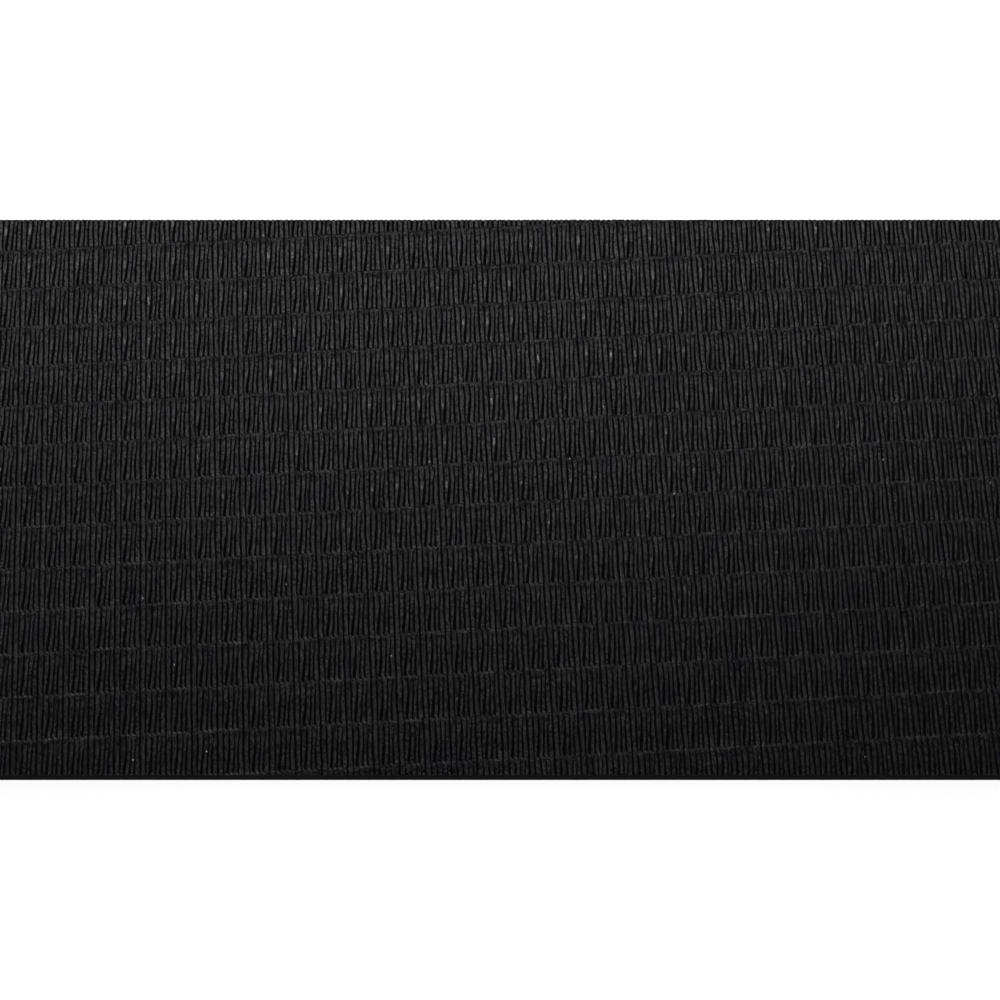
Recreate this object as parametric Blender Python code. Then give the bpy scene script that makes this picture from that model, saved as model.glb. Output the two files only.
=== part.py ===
"""An interlocking foam mat: a cut length with jigsaw teeth at both ends and a rush-grain top.

The mat is one piece of foam. It lies flat, its length along X, its width along Y, its
underside at z = 0 and its ribbed face up. Metres, with the origin under the middle.
"""

import math

import bmesh
import bpy

# Driving sizes. The length is the mat's module, from one end's mid-wave to the other's.
MODULE_LENGTH = 0.300
MAT_WIDTH = 0.150
MAT_THICKNESS = 0.010

# The jigsaw teeth. A tooth and the gap beside it are each half a pitch wide at mid-depth.
TEETH_PER_END = 3
TOOTH_PITCH = MAT_WIDTH / TEETH_PER_END
TOOTH_DEPTH = 0.012
TOOTH_FLARE = 0.003
TOOTH_CORNER_RADIUS = 0.0035
CORNER_STEPS = 6

# The grain. Straws run across the rows in groups, with a deep groove between two groups.
STRAW_PITCH = 0.001286
STRAWS_PER_GROUP = 5
GROUP_PITCH = STRAW_PITCH * STRAWS_PER_GROUP
ROW_PITCH = 0.01106
GRAIN_TURN = math.radians(3.085)
GRAIN_CROSSING = (0.00349, -0.00459)
GROUP_GROOVE_DEPTH = 0.0003
GROUP_GROOVE_HALF_WIDTH = 0.0009
ROW_DIP_DEPTH = 0.0006

# The cutter that gives the outline reaches this far past both faces.
CUTTER_REACH = 0.010

FOAM_COLOUR = (0.012, 0.012, 0.0125, 1.0)
FOAM_ROUGHNESS = 0.55


def clear_scene():
    for existing in list(bpy.data.objects):
        bpy.data.objects.remove(existing, do_unlink=True)


def new_collection(name):
    collection = bpy.data.collections.new(name)
    bpy.context.scene.collection.children.link(collection)
    return collection


def foam_material():
    material = bpy.data.materials.new("black_foam")
    material.use_nodes = True
    shader = material.node_tree.nodes["Principled BSDF"]
    shader.inputs["Base Color"].default_value = FOAM_COLOUR
    shader.inputs["Roughness"].default_value = FOAM_ROUGHNESS
    shader.inputs["Metallic"].default_value = 0.0
    return material


def wave_corners(middle_x):
    """The sharp corners of one end's wave, from the front edge (-Y) to the back edge."""
    low = middle_x - TOOTH_DEPTH / 2
    high = middle_x + TOOTH_DEPTH / 2
    half_neck = TOOTH_PITCH / 4 - TOOTH_FLARE
    half_tip = TOOTH_PITCH / 4 + TOOTH_FLARE
    corners = []
    for tooth in range(TEETH_PER_END):
        centre = -MAT_WIDTH / 2 + (tooth + 0.5) * TOOTH_PITCH
        corners.append((low, centre - half_neck))
        corners.append((high, centre - half_tip))
        corners.append((high, centre + half_tip))
        corners.append((low, centre + half_neck))
    return corners


def rounded(before, corner, after):
    """The arc that rounds a corner between its two neighbours."""
    to_before = (before[0] - corner[0], before[1] - corner[1])
    to_after = (after[0] - corner[0], after[1] - corner[1])
    angle_before = math.atan2(to_before[1], to_before[0])
    opening = math.atan2(to_after[1], to_after[0]) - angle_before
    opening = (opening + math.pi) % (2 * math.pi) - math.pi
    bisector = angle_before + opening / 2
    to_centre = TOOTH_CORNER_RADIUS / math.sin(abs(opening) / 2)
    centre = (
        corner[0] + to_centre * math.cos(bisector),
        corner[1] + to_centre * math.sin(bisector),
    )
    sweep = math.pi - abs(opening)
    turn = math.copysign(sweep, opening)
    arc = []
    for step in range(CORNER_STEPS + 1):
        angle = bisector + math.pi + turn / 2 - turn * step / CORNER_STEPS
        arc.append(
            (
                centre[0] + TOOTH_CORNER_RADIUS * math.cos(angle),
                centre[1] + TOOTH_CORNER_RADIUS * math.sin(angle),
            )
        )
    return arc


def end_wave(middle_x):
    """One end of the mat as points from the front edge to the back edge."""
    low = middle_x - TOOTH_DEPTH / 2
    front = (low, -MAT_WIDTH / 2)
    back = (low, MAT_WIDTH / 2)
    corners = [front] + wave_corners(middle_x) + [back]
    points = [front]
    for index in range(1, len(corners) - 1):
        points += rounded(corners[index - 1], corners[index], corners[index + 1])
    points.append(back)
    return points


def mat_outline():
    """The whole outline. Both ends have one wave, so that the next piece fits on."""
    right = end_wave(MODULE_LENGTH / 2)
    left = end_wave(-MODULE_LENGTH / 2)
    return right + left[::-1]


def outline_cutter(cutters):
    """A prism on the mat's outline, made from a flat curve and turned into a mesh."""
    curve = bpy.data.curves.new("outline", "CURVE")
    curve.dimensions = "2D"
    curve.fill_mode = "BOTH"
    curve.extrude = MAT_THICKNESS / 2 + CUTTER_REACH
    outline = mat_outline()
    spline = curve.splines.new("POLY")
    spline.points.add(len(outline) - 1)
    for point, (x, y) in zip(spline.points, outline):
        point.co = (x, y, 0.0, 1.0)
    spline.use_cyclic_u = True
    drawn = bpy.data.objects.new("outline", curve)
    drawn.location.z = MAT_THICKNESS / 2
    cutters.objects.link(drawn)

    bpy.context.view_layer.update()
    evaluated = drawn.evaluated_get(bpy.context.evaluated_depsgraph_get())
    mesh = bpy.data.meshes.new_from_object(evaluated)
    cutter = bpy.data.objects.new("outline_cutter", mesh)
    cutter.matrix_world = drawn.matrix_world.copy()
    cutters.objects.link(cutter)
    bpy.data.objects.remove(drawn, do_unlink=True)

    shape = bmesh.new()
    shape.from_mesh(mesh)
    bmesh.ops.remove_doubles(shape, verts=shape.verts, dist=0.00001)
    bmesh.ops.recalc_face_normals(shape, faces=shape.faces)
    shape.to_mesh(mesh)
    shape.free()
    cutter.hide_render = True
    cutter.display_type = "WIRE"
    return cutter


def groove_line(index):
    """Place across the groups of a grid line: groove bottom, then its two shoulders."""
    group, line = divmod(index, 3)
    shoulders = (0.0, GROUP_GROOVE_HALF_WIDTH, GROUP_PITCH - GROUP_GROOVE_HALF_WIDTH)
    return group * GROUP_PITCH + shoulders[line]


def row_line(index):
    """Place across the rows of a grid line: a row's dip, then its crown."""
    row, line = divmod(index, 2)
    return (row + line / 2) * ROW_PITCH


def grained_block(model, material):
    """A block larger than the mat, its top raised in rows and groups, turned to the grain."""
    reach = math.hypot(MODULE_LENGTH + TOOTH_DEPTH, MAT_WIDTH) / 2
    half_groups = math.ceil(reach / GROUP_PITCH)
    half_rows = math.ceil((MAT_WIDTH / 2 + reach * math.sin(GRAIN_TURN)) / ROW_PITCH) + 1
    lines_across = 2 * half_groups * 3
    lines_along = 2 * half_rows * 2

    shape = bmesh.new()
    bmesh.ops.create_grid(shape, x_segments=lines_across, y_segments=lines_along, size=1.0)
    cos_turn = math.cos(GRAIN_TURN)
    sin_turn = math.sin(GRAIN_TURN)
    for vertex in shape.verts:
        across = round((vertex.co.x + 1) / 2 * lines_across) - half_groups * 3
        along = round((vertex.co.y + 1) / 2 * lines_along) - half_rows * 2
        x = groove_line(across)
        y = row_line(along)
        dip = 0.0
        if across % 3 == 0:
            dip += GROUP_GROOVE_DEPTH
        if along % 2 == 0:
            dip += ROW_DIP_DEPTH
        vertex.co.x = GRAIN_CROSSING[0] + x * cos_turn - y * sin_turn
        vertex.co.y = GRAIN_CROSSING[1] + x * sin_turn + y * cos_turn
        vertex.co.z = MAT_THICKNESS - dip

    rim = [edge for edge in shape.edges if edge.is_boundary]
    wall = bmesh.ops.extrude_edge_only(shape, edges=rim)["geom"]
    for item in wall:
        if isinstance(item, bmesh.types.BMVert):
            item.co.z = 0.0
    underside = [edge for edge in shape.edges if edge.is_boundary]
    bmesh.ops.holes_fill(shape, edges=underside)
    bmesh.ops.recalc_face_normals(shape, faces=shape.faces)

    mesh = bpy.data.meshes.new("mat")
    shape.to_mesh(mesh)
    shape.free()
    mesh.materials.append(material)
    mat = bpy.data.objects.new("mat", mesh)
    model.objects.link(mat)
    return mat


def cut_to_outline(mat, cutter):
    cut = mat.modifiers.new("outline", "BOOLEAN")
    cut.operation = "INTERSECT"
    cut.solver = "EXACT"
    cut.object = cutter


def main():
    clear_scene()
    model = new_collection("interlocking_foam_mat")
    cutters = new_collection("cutters")
    mat = grained_block(model, foam_material())
    cut_to_outline(mat, outline_cutter(cutters))


main()
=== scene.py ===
"""The looks of the interlocking foam mat: its rush-grain face, cut walls, underside and finish.

The mat lies flat, its length along X, its width along Y and its ribbed face up. +Y is up in
the photograph. Sizes are in metres.
"""

import math

import bpy
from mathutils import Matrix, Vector


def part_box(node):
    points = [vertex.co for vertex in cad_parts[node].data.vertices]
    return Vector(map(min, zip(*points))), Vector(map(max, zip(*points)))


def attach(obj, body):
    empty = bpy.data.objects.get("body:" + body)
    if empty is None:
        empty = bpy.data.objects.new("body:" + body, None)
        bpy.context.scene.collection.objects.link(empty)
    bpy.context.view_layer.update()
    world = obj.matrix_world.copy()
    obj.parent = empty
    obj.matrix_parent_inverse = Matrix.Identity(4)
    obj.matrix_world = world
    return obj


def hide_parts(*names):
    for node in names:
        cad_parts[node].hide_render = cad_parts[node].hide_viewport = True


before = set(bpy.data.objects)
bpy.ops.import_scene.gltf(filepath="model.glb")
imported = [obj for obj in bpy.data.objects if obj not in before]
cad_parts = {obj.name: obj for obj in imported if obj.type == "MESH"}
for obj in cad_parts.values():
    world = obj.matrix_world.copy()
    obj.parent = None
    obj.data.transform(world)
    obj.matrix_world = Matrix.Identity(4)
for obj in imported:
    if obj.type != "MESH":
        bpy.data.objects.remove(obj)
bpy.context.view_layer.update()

# The outline. The width, the thickness and the length come from the frame.
MAT_LOW, MAT_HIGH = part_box("mat")
MAT_WIDTH = MAT_HIGH.y - MAT_LOW.y
MAT_THICKNESS = MAT_HIGH.z - MAT_LOW.z
TOOTH_DEPTH = 0.012
MODULE_LENGTH = MAT_HIGH.x - MAT_LOW.x - TOOTH_DEPTH
TEETH_PER_END = 3
TOOTH_PITCH = MAT_WIDTH / TEETH_PER_END
TOOTH_FLARE = 0.003
TOOTH_CORNER_RADIUS = 0.0035
CORNER_STEPS = 8

# The cutter that gives the outline reaches this far past both faces.
CUTTER_REACH = 0.010
CUTTER_MERGE_DISTANCE = 0.00001

# The grain: straws in groups of five, laid in rows, a little askew to the mat's sides.
STRAW_PITCH = 0.001286
STRAWS_PER_GROUP = 5
GROUP_PITCH = STRAW_PITCH * STRAWS_PER_GROUP
ROW_PITCH = 0.01106
GRAIN_TURN = math.radians(3.085)
GRAIN_CROSSING = (0.00349, -0.00459)
GRAIN_MERGE_DISTANCE = 0.00002

# How a group of straws runs down one row. A straw rises down its row to a raised end, like a
# shingle. Each table below has one line for each station, and one value for each straw.
# The stations lie down the row, which is 1 long.
STATIONS = (0.000, 0.055, 0.180, 0.400, 0.620, 0.830, 0.960)

# Where the groove on a straw's left lies, in straws from the group's left side. The first
# groove is the deep one between two groups.
GROOVE_PLACES = (
    (0.10, 1.20, 2.12, 3.10, 4.15),
    (0.08, 1.22, 2.30, 3.40, 4.33),
    (0.10, 1.27, 2.40, 3.41, 4.32),
    (0.08, 1.25, 2.38, 3.33, 4.10),
    (0.08, 1.18, 2.20, 3.21, 4.01),
    (0.12, 1.15, 1.99, 3.09, 3.99),
    (0.14, 1.18, 1.90, 2.98, 4.00),
)

# How deep that groove is, as shares of GROOVE_DEPTH.
GROOVE_DEPTHS = (
    (0.80, 0.50, 0.45, 0.45, 0.42),
    (0.92, 0.62, 0.60, 0.50, 0.44),
    (0.98, 0.90, 0.90, 0.72, 0.66),
    (1.02, 1.00, 1.00, 0.82, 0.82),
    (1.05, 0.95, 1.25, 0.88, 0.95),
    (0.98, 0.75, 1.30, 0.95, 0.98),
    (0.90, 0.60, 1.15, 0.95, 0.95),
)
GROOVE_DEPTH = 0.00060

# How far the straw's crown lies below the highest one, as shares of CROWN_DIP.
CROWN_DIPS = (
    (0.90, 0.95, 1.00, 1.00, 1.00),
    (0.64, 0.67, 0.74, 0.71, 0.76),
    (0.40, 0.42, 0.50, 0.45, 0.55),
    (0.35, 0.30, 0.40, 0.40, 0.40),
    (0.30, 0.28, 0.30, 0.32, 0.30),
    (0.24, 0.22, 0.25, 0.25, 0.32),
    (0.00, 0.00, 0.00, 0.00, 0.00),
)
CROWN_DIP = 0.00026

# A straw's shoulders lie either side of its crown, and below it by SHOULDER_FALL of the half
# width between them. Each stands off its groove by SHOULDER_REACH times the groove's share of
# depth, in straws, and by LEAST_SHOULDER at least.
SHOULDER_FALL = 0.13
SHOULDER_REACH = 0.24
LEAST_SHOULDER = 0.12

# The crowns reach this much further down the row at its first and last station, which rounds
# the straws' ends.
ROUNDED_END = 0.024

# The points across a straw: its left groove, left shoulder, crown and right shoulder.
POINTS_PER_STRAW = 4
CROWN_POINT = 2

# How the embossing wanders: along which axis, over what distance, and how far in all.
WANDERS = (
    ("X", 0.005, 0.00036),
    ("Y", 0.003, 0.00045),
    ("Z", 0.003, 0.00012),
)

# The faces: an edge sharper than this stays sharp, and a face turned this far down, as the Z
# of its normal, is the underside.
SMOOTH_ANGLE = math.radians(24)
UNDERSIDE_NORMAL_Z = -0.9

# Places within one cell of the grain, as shares of a group's width and of a row's length: the
# bend of the second straw, which rubs shiny, the straws' raised ends, which get a painted
# highlight where their slopes catch the light, and their low starts, whose sheen is turned down
# as painted shade from the row above. A reach of 9 takes in the whole width of the group. A
# spot is even within SPOT_CORE of its reach, and fades from there.
BEND_SPOT = (0.355, 0.54)
BEND_REACH = (0.070, 0.160)
RAISED_ENDS = (0.0, 0.008)
RAISED_ENDS_REACH = (9.0, 0.032)
LOW_STARTS = (0.0, 0.925)
LOW_STARTS_REACH = (9.0, 0.15)
SPOT_CORE = 0.4

# The skin has the groove's look below the first height, and the straws' above the second. The
# groove's look is painted shade, a darker black down in the grooves.
GROOVE_LOOK_HEIGHT = MAT_THICKNESS - 0.00060
STRAW_LOOK_HEIGHT = MAT_THICKNESS - 0.00010

# Noise scales, in waves a metre. The fibres and tones are across the straws, along them and up.
PATCH_SCALE = 35.0
FIBRE_SCALES = (5200.0, 210.0, 1000.0)
GRAIN_SCALE = 1900.0
TONE_SCALES = (700.0, 90.0, 100.0)
COOL_SCALE = 120.0
RUBBED_SCALE = 260.0
SPECK_SCALE = 110.0
CUT_CELL_SCALE = 3200.0
CUT_STREAK_SCALES = (900.0, 900.0, 60.0)
PEBBLE_SCALE = 1300.0
UNDERSIDE_PATCH_SCALE = 28.0

# A speck of dust: its rim, from outside to inside, in cells of its scale. The cells that have
# one, about one in 23, are those whose random number lies past SPECK_CHOICE.
SPECK_RIM = (0.020, 0.014)
SPECK_CHOICE = (0.955, 0.960)

# How the foam mirrors light, as Specular IOR Level, and how high its fine relief stands.
GROOVE_GLOSS = 0.078
STRAW_GLOSS = 0.073
RAISED_END_GLOSS = 0.13
POLISH_GLOSS = 0.07
POLISH_SMOOTHING = 0.26
CUT_GLOSS = 0.0
UNDERSIDE_GLOSS = 0.25
FACE_RELIEF = 0.00012
CUT_RELIEF = 0.00008
UNDERSIDE_RELIEF = 0.00010

STRAW_BLACK = (0.0007, 0.0007, 0.0008, 1.0)
WORN_BLACK = (0.0012, 0.0012, 0.0012, 1.0)
RUBBED_GREY = (0.0055, 0.0055, 0.0055, 1.0)
# Painted highlight on the straws' raised ends, where their slopes catch the light.
RAISED_END_HIGHLIGHT_GREY = (0.0050, 0.0050, 0.0050, 1.0)
COOL_BLACK = (0.0007, 0.0008, 0.0022, 1.0)
# Painted shade down in the grooves, and also the dark end of the straws' random tone.
GROOVE_SHADE_AND_TONE_BLACK = (0.0010, 0.0010, 0.0011, 1.0)
CUT_BLACK = (0.0030, 0.0030, 0.0031, 1.0)
CUT_GREY = (0.0055, 0.0055, 0.0056, 1.0)
UNDERSIDE_BLACK = (0.0220, 0.0220, 0.0226, 1.0)
UNDERSIDE_GREY = (0.0320, 0.0320, 0.0324, 1.0)
DUST_GREY = (0.16, 0.16, 0.15, 1.0)

# The studio.
FLOOR_SIZE = 20.0
FLOOR_WHITE = (0.95, 0.95, 0.95, 1)
FLOOR_ROUGHNESS = 0.9
WORLD_STRENGTH = 0.28

# The camera, as the photograph was taken. Its axis meets the face at AXIS_HITS_FACE_Y.
CAMERA_TILT = math.radians(16.1)
CAMERA_DISTANCE = 0.4631
CAMERA_LENS = 64.48
CAMERA_SENSOR = 36.0
CAMERA_CLIP_START = 0.01
AXIS_HITS_FACE_Y = -0.00415


def deselect_all():
    bpy.ops.object.select_all(action="DESELECT")


def use_alone(piece):
    deselect_all()
    piece.select_set(True)
    bpy.context.view_layer.objects.active = piece


def apply_modifier(piece, modifier):
    use_alone(piece)
    bpy.ops.object.modifier_apply(modifier=modifier.name)


def across_straws(station):
    """One station's points as (place, depth), from a group's first groove to the next group's."""
    dips = CROWN_DIPS[station]
    places = GROOVE_PLACES[station]
    depths = GROOVE_DEPTHS[station]
    places = places + (STRAWS_PER_GROUP + places[0],)
    depths = depths + (depths[0],)
    points = []
    for straw, dip in enumerate(dips):
        crown = dip * CROWN_DIP
        left_groove = max(depths[straw] * GROOVE_DEPTH, crown)
        right_groove = max(depths[straw + 1] * GROOVE_DEPTH, crown)
        left = places[straw] + max(SHOULDER_REACH * depths[straw], LEAST_SHOULDER)
        right = places[straw + 1] - max(SHOULDER_REACH * depths[straw + 1], LEAST_SHOULDER)
        shoulder = crown + SHOULDER_FALL * STRAW_PITCH * (right - left) / 2
        points.append((places[straw], left_groove))
        points.append((left, min(shoulder, left_groove)))
        points.append(((left + right) / 2, crown))
        points.append((right, min(shoulder, right_groove)))
    points.append((places[-1], max(depths[-1] * GROOVE_DEPTH, dips[0] * CROWN_DIP)))
    return points


def straw_group():
    """One group of straws over one row, modelled once: a grid whose columns follow the straws."""
    columns = STRAWS_PER_GROUP * POINTS_PER_STRAW
    rows = len(STATIONS)
    deselect_all()
    bpy.ops.mesh.primitive_grid_add(x_subdivisions=columns, y_subdivisions=rows, size=2.0)
    group = bpy.context.active_object
    group.name = "mat_foam"
    for vertex in group.data.vertices:
        column = round((vertex.co.x + 1) / 2 * columns)
        row = round((1 - vertex.co.y) / 2 * rows)
        next_row, station = divmod(row, rows)
        down_row = STATIONS[station]
        place, depth = across_straws(station)[column]
        vertex.co.x = place * STRAW_PITCH
        if station in (0, rows - 1) and column % POINTS_PER_STRAW == CROWN_POINT:
            down_row += ROUNDED_END
        vertex.co.y = -(down_row + next_row) * ROW_PITCH
        vertex.co.z = -depth
    return group


def repeat(piece, axis, count, pitch):
    """Copies a piece along an axis, its shared edges merged."""
    array = piece.modifiers.new("repeat", "ARRAY")
    array.count = count
    array.use_relative_offset = False
    array.use_constant_offset = True
    offset = [0.0, 0.0, 0.0]
    offset["XYZ".index(axis)] = pitch
    array.constant_offset_displace = offset
    array.use_merge_vertices = True
    array.merge_threshold = GRAIN_MERGE_DISTANCE
    apply_modifier(piece, array)


def wander(piece, axis, distance, strength):
    """Lets the points drift a little along an axis, as the embossing of a soft foam does."""
    texture = bpy.data.textures.new("wander_" + axis, "CLOUDS")
    texture.noise_scale = distance
    texture.noise_depth = 1
    displace = piece.modifiers.new("wander", "DISPLACE")
    displace.texture = texture
    displace.direction = axis
    displace.strength = strength
    displace.mid_level = 0.5
    displace.texture_coords = "LOCAL"
    apply_modifier(piece, displace)


def lay_grain(group):
    """Spreads the group over a field larger than the mat and turns it to the grain."""
    reach_x = (MODULE_LENGTH + TOOTH_DEPTH) / 2 + MAT_WIDTH / 2 * math.sin(GRAIN_TURN)
    reach_y = MAT_WIDTH / 2 + reach_x * math.sin(GRAIN_TURN)
    half_groups = math.ceil(reach_x / GROUP_PITCH) + 1
    half_rows = math.ceil(reach_y / ROW_PITCH) + 1
    repeat(group, "Y", 2 * half_rows, -ROW_PITCH)
    repeat(group, "X", 2 * half_groups, GROUP_PITCH)
    use_alone(group)
    group.location = (-half_groups * GROUP_PITCH, half_rows * ROW_PITCH, 0.0)
    bpy.ops.object.transform_apply(location=True, rotation=False, scale=False)
    group.rotation_euler.z = GRAIN_TURN
    group.location = (GRAIN_CROSSING[0], GRAIN_CROSSING[1], MAT_THICKNESS)
    bpy.ops.object.transform_apply(location=True, rotation=True, scale=False)


def close_block(piece):
    """Draws the field's rim down to the floor and closes the underside."""
    use_alone(piece)
    bpy.ops.object.mode_set(mode="EDIT")
    bpy.ops.mesh.select_mode(type="EDGE")
    bpy.ops.mesh.select_all(action="SELECT")
    bpy.ops.mesh.region_to_loop()
    bpy.ops.mesh.extrude_edges_move(TRANSFORM_OT_translate={"value": (0, 0, -MAT_THICKNESS)})
    bpy.ops.transform.resize(value=(1, 1, 0), center_override=(0, 0, 0))
    bpy.ops.mesh.edge_face_add()
    bpy.ops.mesh.select_all(action="SELECT")
    bpy.ops.mesh.normals_make_consistent(inside=False)
    bpy.ops.object.mode_set(mode="OBJECT")


def wave_corners(middle_x):
    """The sharp corners of one end's wave, from the front side to the back side."""
    low = middle_x - TOOTH_DEPTH / 2
    high = middle_x + TOOTH_DEPTH / 2
    half_neck = TOOTH_PITCH / 4 - TOOTH_FLARE
    half_tip = TOOTH_PITCH / 4 + TOOTH_FLARE
    corners = []
    for tooth in range(TEETH_PER_END):
        centre = -MAT_WIDTH / 2 + (tooth + 0.5) * TOOTH_PITCH
        corners.append(Vector((low, centre - half_neck)))
        corners.append(Vector((high, centre - half_tip)))
        corners.append(Vector((high, centre + half_tip)))
        corners.append(Vector((low, centre + half_neck)))
    return corners


def rounded(before, corner, after):
    """The arc that rounds a corner between its two neighbours."""
    to_before = (before - corner).normalized()
    to_after = (after - corner).normalized()
    half_opening = to_before.angle(to_after) / 2
    bisector = (to_before + to_after).normalized()
    centre = corner + bisector * (TOOTH_CORNER_RADIUS / math.sin(half_opening))
    tangent = TOOTH_CORNER_RADIUS / math.tan(half_opening)
    start = corner + to_before * tangent - centre
    end = corner + to_after * tangent - centre
    arc = []
    for step in range(CORNER_STEPS + 1):
        spoke = start.slerp(end, step / CORNER_STEPS)
        arc.append(centre + spoke.normalized() * TOOTH_CORNER_RADIUS)
    return arc


def end_wave(middle_x):
    """One end of the mat as points from the front side to the back side."""
    low = middle_x - TOOTH_DEPTH / 2
    front = Vector((low, -MAT_WIDTH / 2))
    back = Vector((low, MAT_WIDTH / 2))
    corners = [front] + wave_corners(middle_x) + [back]
    points = [front]
    for index in range(1, len(corners) - 1):
        points += rounded(corners[index - 1], corners[index], corners[index + 1])
    return points + [back]


def outline_cutter():
    """A prism on the mat's outline: a flat curve with an extrude, turned into a mesh."""
    curve = bpy.data.curves.new("outline_cutter", "CURVE")
    curve.dimensions = "2D"
    curve.fill_mode = "BOTH"
    curve.extrude = MAT_THICKNESS / 2 + CUTTER_REACH
    outline = end_wave(MODULE_LENGTH / 2) + end_wave(-MODULE_LENGTH / 2)[::-1]
    spline = curve.splines.new("POLY")
    spline.points.add(len(outline) - 1)
    for point, place in zip(spline.points, outline):
        point.co = (place.x, place.y, 0.0, 1.0)
    spline.use_cyclic_u = True
    cutter = bpy.data.objects.new("outline_cutter", curve)
    bpy.context.scene.collection.objects.link(cutter)
    cutter.location.z = MAT_THICKNESS / 2
    use_alone(cutter)
    bpy.ops.object.convert(target="MESH")
    cutter = bpy.context.active_object
    bpy.ops.object.mode_set(mode="EDIT")
    bpy.ops.mesh.select_all(action="SELECT")
    bpy.ops.mesh.remove_doubles(threshold=CUTTER_MERGE_DISTANCE)
    bpy.ops.mesh.normals_make_consistent(inside=False)
    bpy.ops.object.mode_set(mode="OBJECT")
    return cutter


def cut_to_outline(piece, cutter):
    cut = piece.modifiers.new("outline", "BOOLEAN")
    cut.operation = "INTERSECT"
    cut.solver = "EXACT"
    cut.object = cutter
    apply_modifier(piece, cut)
    bpy.data.objects.remove(cutter, do_unlink=True)


class Nodes:
    """Short calls for building a material's nodes. An argument is a socket or a plain value."""

    def __init__(self, name):
        self.material = bpy.data.materials.new(name)
        self.material.use_nodes = True
        self.tree = self.material.node_tree
        self.shader = self.tree.nodes["Principled BSDF"]
        self.place = self.add("ShaderNodeTexCoord").outputs["Object"]

    def add(self, kind, **settings):
        node = self.tree.nodes.new(kind)
        for name, value in settings.items():
            setattr(node, name, value)
        return node

    def feed(self, socket, value):
        if isinstance(value, bpy.types.NodeSocket):
            self.tree.links.new(value, socket)
        else:
            socket.default_value = value

    def shade(self, name, value):
        """Feeds one of the shader's own sockets."""
        self.feed(self.shader.inputs[name], value)

    def noise(self, scale, place=None, detail=2.0, roughness=0.5):
        node = self.add("ShaderNodeTexNoise")
        self.feed(node.inputs["Vector"], place or self.place)
        self.feed(node.inputs["Scale"], scale)
        self.feed(node.inputs["Detail"], detail)
        self.feed(node.inputs["Roughness"], roughness)
        return node.outputs["Fac"]

    def cells(self, scale, **settings):
        node = self.add("ShaderNodeTexVoronoi", **settings)
        self.feed(node.inputs["Vector"], self.place)
        self.feed(node.inputs["Scale"], scale)
        return node.outputs

    def turned(self, angle, stretch):
        """The place turned back to the grain and then stretched along each axis."""
        turn = self.add("ShaderNodeMapping")
        self.feed(turn.inputs["Vector"], self.place)
        self.feed(turn.inputs["Rotation"], (0.0, 0.0, -angle))
        scale = self.add("ShaderNodeMapping")
        self.feed(scale.inputs["Vector"], turn.outputs["Vector"])
        self.feed(scale.inputs["Scale"], stretch)
        return scale.outputs["Vector"]

    def ramp(self, value, low, high, to_low=0.0, to_high=1.0):
        """Takes low to to_low and high to to_high, and stays level beyond them."""
        node = self.add("ShaderNodeMapRange", clamp=True)
        self.feed(node.inputs["Value"], value)
        self.feed(node.inputs["From Min"], low)
        self.feed(node.inputs["From Max"], high)
        self.feed(node.inputs["To Min"], to_low)
        self.feed(node.inputs["To Max"], to_high)
        return node.outputs["Result"]

    def span(self, value, to_low, to_high):
        """Takes 0 to to_low and 1 to to_high."""
        return self.ramp(value, 0.0, 1.0, to_low, to_high)

    def math(self, operation, first, second):
        node = self.add("ShaderNodeMath", operation=operation)
        self.feed(node.inputs[0], first)
        self.feed(node.inputs[1], second)
        return node.outputs["Value"]

    def times(self, first, second):
        return self.math("MULTIPLY", first, second)

    def plus(self, first, second):
        return self.math("ADD", first, second)

    def vector_math(self, operation, first, second):
        node = self.add("ShaderNodeVectorMath", operation=operation)
        self.feed(node.inputs[0], first)
        self.feed(node.inputs[1], second)
        return node.outputs["Vector"]

    def mix(self, share, first, second):
        node = self.add("ShaderNodeMix", data_type="RGBA")
        self.feed(node.inputs["Factor"], share)
        self.feed(node.inputs["A"], first)
        self.feed(node.inputs["B"], second)
        return node.outputs["Result"]

    def height(self):
        node = self.add("ShaderNodeSeparateXYZ")
        self.feed(node.inputs["Vector"], self.place)
        return node.outputs["Z"]

    def spots(self, centre, reach):
        """1 at one place in each group and row of the grain, fading to 0 at the reach."""
        cell = self.add("ShaderNodeMapping", vector_type="TEXTURE")
        self.feed(cell.inputs["Vector"], self.place)
        self.feed(cell.inputs["Location"], (*GRAIN_CROSSING, 0.0))
        self.feed(cell.inputs["Rotation"], (0.0, 0.0, GRAIN_TURN))
        self.feed(cell.inputs["Scale"], (GROUP_PITCH, ROW_PITCH, 1.0))
        corner = (centre[0] - 0.5, centre[1] - 0.5, 0.0)
        from_corner = self.vector_math("SUBTRACT", cell.outputs["Vector"], corner)
        within = self.vector_math("FRACTION", from_corner, (0.0, 0.0, 0.0))
        away = self.vector_math("SUBTRACT", within, (0.5, 0.5, 0.0))
        shares = self.vector_math("MULTIPLY", away, (1.0 / reach[0], 1.0 / reach[1], 0.0))
        far = self.add("ShaderNodeVectorMath", operation="LENGTH")
        self.feed(far.inputs[0], shares)
        return self.ramp(far.outputs["Value"], 1.0, SPOT_CORE)

    def bump(self, height, strength, distance):
        node = self.add("ShaderNodeBump")
        self.feed(node.inputs["Height"], height)
        self.feed(node.inputs["Strength"], strength)
        self.feed(node.inputs["Distance"], distance)
        self.shade("Normal", node.outputs["Normal"])


def dust_on(n, skin):
    """The skin with a speck of dust here and there."""
    specks = n.cells(SPECK_SCALE, voronoi_dimensions="2D")
    near = n.ramp(specks["Distance"], *SPECK_RIM)
    picked = n.add("ShaderNodeSeparateColor")
    n.feed(picked.inputs["Color"], specks["Color"])
    chosen = n.ramp(picked.outputs["Red"], *SPECK_CHOICE)
    return n.mix(n.times(near, chosen), skin, DUST_GREY)


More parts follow.
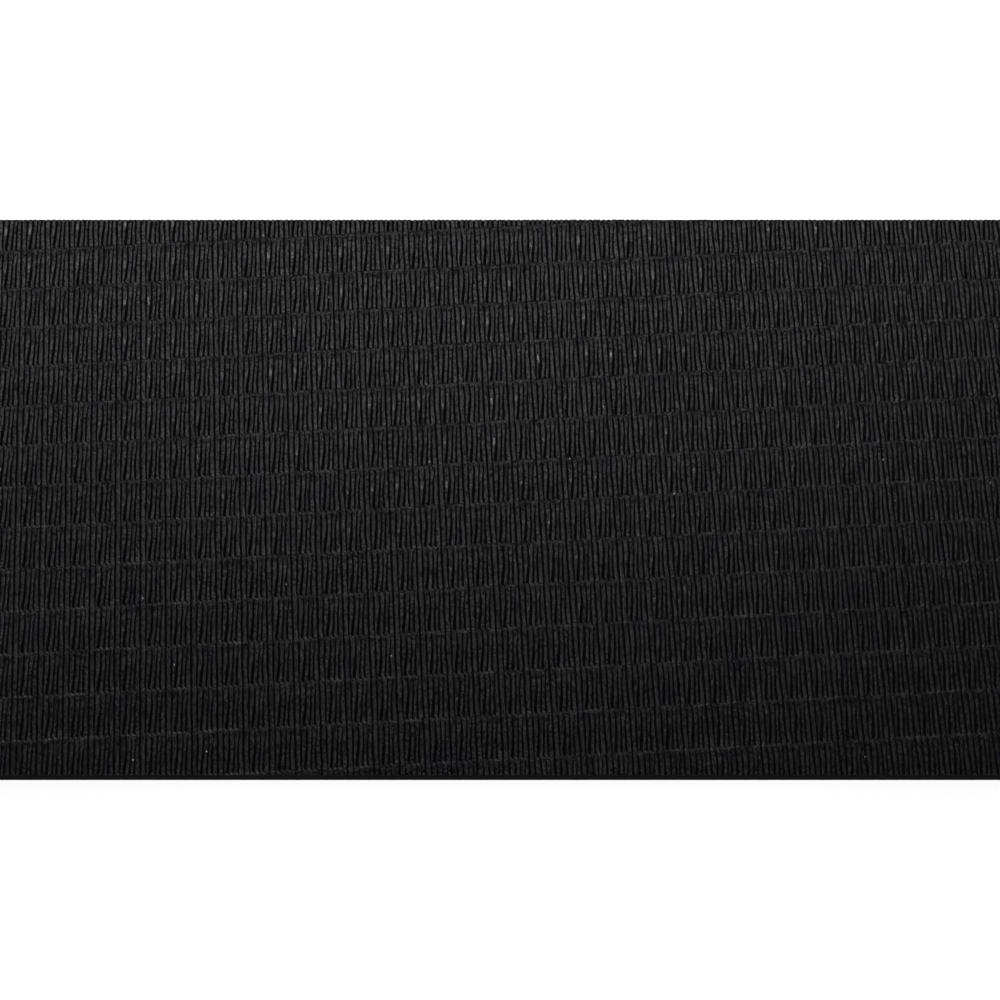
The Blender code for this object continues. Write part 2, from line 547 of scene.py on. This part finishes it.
def ribbed_face_foam():
    """Satin black skin: paler where feet rub the straws, painted shade in the grooves, painted
    highlight on the raised ends, a little dust.
    """
    n = Nodes("ribbed_face")
    patches = n.noise(PATCH_SCALE, detail=3.0)
    fibres = n.noise(1.0, n.turned(GRAIN_TURN, FIBRE_SCALES), detail=3.0, roughness=0.6)
    grain = n.noise(GRAIN_SCALE, detail=2.0, roughness=0.6)
    tone = n.noise(1.0, n.turned(GRAIN_TURN, TONE_SCALES), detail=1.0)
    cool = n.ramp(n.noise(COOL_SCALE, detail=1.0), 0.62, 0.72)
    rubbed = n.ramp(n.noise(RUBBED_SCALE, detail=1.0), 0.42, 0.66)
    on_straw = n.ramp(n.height(), GROOVE_LOOK_HEIGHT, STRAW_LOOK_HEIGHT)
    # Painted highlight: the raised ends turn paler, unevenly, where their slopes catch the light.
    end_highlight_mask = n.times(n.spots(RAISED_ENDS, RAISED_ENDS_REACH), n.span(rubbed, 0.30, 1.0))
    painted_end_highlight = n.times(end_highlight_mask, on_straw)
    low_starts = n.spots(LOW_STARTS, LOW_STARTS_REACH)
    polish = n.times(n.spots(BEND_SPOT, BEND_REACH), rubbed)

    straw = n.mix(n.ramp(patches, 0.35, 0.70), STRAW_BLACK, WORN_BLACK)
    straw = n.mix(n.ramp(fibres, 0.45, 0.85, to_high=0.5), straw, WORN_BLACK)
    straw = n.mix(n.ramp(grain, 0.48, 0.72, to_high=0.6), straw, RUBBED_GREY)
    straw = n.mix(n.ramp(tone, 0.35, 0.60, to_low=0.45, to_high=0.0), straw, GROOVE_SHADE_AND_TONE_BLACK)
    straw = n.mix(n.times(cool, 0.6), straw, COOL_BLACK)
    # The painted highlight on the raised ends.
    straw = n.mix(painted_end_highlight, straw, RAISED_END_HIGHLIGHT_GREY)
    # Painted shade: the skin turns to a darker black down in the grooves.
    skin = n.mix(on_straw, GROOVE_SHADE_AND_TONE_BLACK, straw)
    n.shade("Base Color", dust_on(n, skin))

    rough = n.ramp(fibres, 0.25, 0.75, to_low=0.44, to_high=0.34)
    n.shade("Roughness", n.math("SUBTRACT", rough, n.times(polish, POLISH_SMOOTHING)))

    grain_sheen = n.ramp(grain, 0.36, 0.64, to_low=0.05, to_high=1.95)
    tone_sheen = n.ramp(tone, 0.30, 0.70, to_low=0.80, to_high=1.20)
    # Painted shade: the sheen is turned down at the row starts, which lie in the shade of the row
    # above.
    start_shade_sheen = n.span(low_starts, 1.0, 0.55)
    sheen = n.times(n.times(grain_sheen, tone_sheen), start_shade_sheen)
    gloss = n.times(n.span(on_straw, GROOVE_GLOSS, STRAW_GLOSS), sheen)
    gloss = n.plus(gloss, n.times(painted_end_highlight, RAISED_END_GLOSS))
    n.shade("Specular IOR Level", n.plus(gloss, n.times(polish, POLISH_GLOSS)))

    relief = n.plus(n.times(fibres, 0.4), n.times(grain, 0.6))
    n.bump(n.times(relief, n.span(polish, 1.0, 0.15)), 1.0, FACE_RELIEF)
    return n.material


def cut_wall_foam():
    """Matt black foam where the blade has opened its fine cells."""
    n = Nodes("cut_wall")
    cells = n.cells(CUT_CELL_SCALE)
    streaks = n.noise(1.0, n.turned(0.0, CUT_STREAK_SCALES))
    tone = n.mix(n.ramp(cells["Distance"], 0.1, 0.7), CUT_BLACK, CUT_GREY)
    n.shade("Base Color", n.mix(n.ramp(streaks, 0.3, 0.7, to_high=0.4), tone, CUT_BLACK))
    n.shade("Roughness", n.ramp(streaks, 0.3, 0.7, to_low=0.75, to_high=0.9))
    n.shade("Specular IOR Level", CUT_GLOSS)
    n.bump(cells["Distance"], 0.7, CUT_RELIEF)
    return n.material


def underside_foam():
    """The moulded back skin: an even, fine pebble with a dull sheen."""
    n = Nodes("underside")
    pebble = n.cells(PEBBLE_SCALE, feature="SMOOTH_F1")
    patches = n.noise(UNDERSIDE_PATCH_SCALE, detail=3.0)
    n.shade("Base Color", n.mix(n.ramp(patches, 0.3, 0.7), UNDERSIDE_BLACK, UNDERSIDE_GREY))
    n.shade("Roughness", n.ramp(patches, 0.3, 0.7, to_low=0.55, to_high=0.68))
    n.shade("Specular IOR Level", UNDERSIDE_GLOSS)
    n.bump(pebble["Distance"], 0.5, UNDERSIDE_RELIEF)
    return n.material


def finish_faces(piece):
    """Gives the ribbed face, the cut walls and the underside their own finish and shading."""
    piece.data.materials.clear()
    for material in (ribbed_face_foam(), cut_wall_foam(), underside_foam()):
        piece.data.materials.append(material)
    ribbed_face, cut_wall, underside = range(3)
    below_the_grooves = MAT_THICKNESS - 2 * GROOVE_DEPTH
    for face in piece.data.polygons:
        lowest = min(piece.data.vertices[index].co.z for index in face.vertices)
        if face.normal.z < UNDERSIDE_NORMAL_Z:
            face.material_index = underside
        elif lowest < below_the_grooves:
            face.material_index = cut_wall
        else:
            face.material_index = ribbed_face
    use_alone(piece)
    bpy.ops.object.shade_smooth_by_angle(angle=SMOOTH_ANGLE, keep_sharp_edges=True)


def build_mat():
    mat = straw_group()
    lay_grain(mat)
    for axis, distance, strength in WANDERS:
        wander(mat, axis, distance, strength)
    close_block(mat)
    cut_to_outline(mat, outline_cutter())
    finish_faces(mat)
    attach(mat, "root")
    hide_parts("mat")


def build_floor():
    deselect_all()
    bpy.ops.mesh.primitive_plane_add(size=FLOOR_SIZE, location=(0, 0, 0))
    floor = bpy.context.active_object
    floor.name = "floor"
    material = bpy.data.materials.new("pale_floor")
    material.use_nodes = True
    shader = material.node_tree.nodes["Principled BSDF"]
    shader.inputs["Base Color"].default_value = FLOOR_WHITE
    shader.inputs["Roughness"].default_value = FLOOR_ROUGHNESS
    floor.data.materials.append(material)


def soft_light(name, location, aim, width, height, power):
    light = bpy.data.lights.new(name, "AREA")
    light.shape = "RECTANGLE"
    light.size = width
    light.size_y = height
    light.energy = power
    lamp = bpy.data.objects.new(name, light)
    lamp.location = location
    lamp.rotation_euler = (Vector(aim) - Vector(location)).to_track_quat("-Z", "Y").to_euler()
    bpy.context.scene.collection.objects.link(lamp)


def build_light():
    world = bpy.data.worlds.new("studio")
    world.use_nodes = True
    world.node_tree.nodes["Background"].inputs["Color"].default_value = (1, 1, 1, 1)
    world.node_tree.nodes["Background"].inputs["Strength"].default_value = WORLD_STRENGTH
    bpy.context.scene.world = world

    # Wide, behind the mat. The crowns mirror it, most of all in the far rows.
    soft_light(
        "overhead",
        location=(-0.08, 0.68, 0.85),
        aim=(0, 0, 0),
        width=1.7,
        height=0.5,
        power=29.0,
    )
    # Small, where the polished bends mirror it into the camera as glints.
    soft_light(
        "lamp",
        location=(0.0, 0.37, 0.91),
        aim=(0, 0.03, 0),
        width=0.24,
        height=0.10,
        power=2.4,
    )
    # Wide and high in front. It lights the slopes of the raised ends and thins the shadow.
    soft_light(
        "front",
        location=(0.0, -0.70, 1.00),
        aim=(0, -0.08, 0),
        width=1.6,
        height=0.3,
        power=18.0,
    )
    bpy.context.scene.view_settings.view_transform = "Standard"


def build_camera():
    camera = bpy.data.cameras.new("camera")
    camera.lens = CAMERA_LENS
    camera.sensor_width = CAMERA_SENSOR
    camera.clip_start = CAMERA_CLIP_START
    camera_object = bpy.data.objects.new("camera", camera)
    camera_object.location = (
        0.0,
        AXIS_HITS_FACE_Y - CAMERA_DISTANCE * math.sin(CAMERA_TILT),
        MAT_THICKNESS + CAMERA_DISTANCE * math.cos(CAMERA_TILT),
    )
    camera_object.rotation_euler = (CAMERA_TILT, 0.0, 0.0)
    bpy.context.scene.collection.objects.link(camera_object)
    bpy.context.scene.camera = camera_object


build_mat()
build_floor()
build_light()
build_camera()
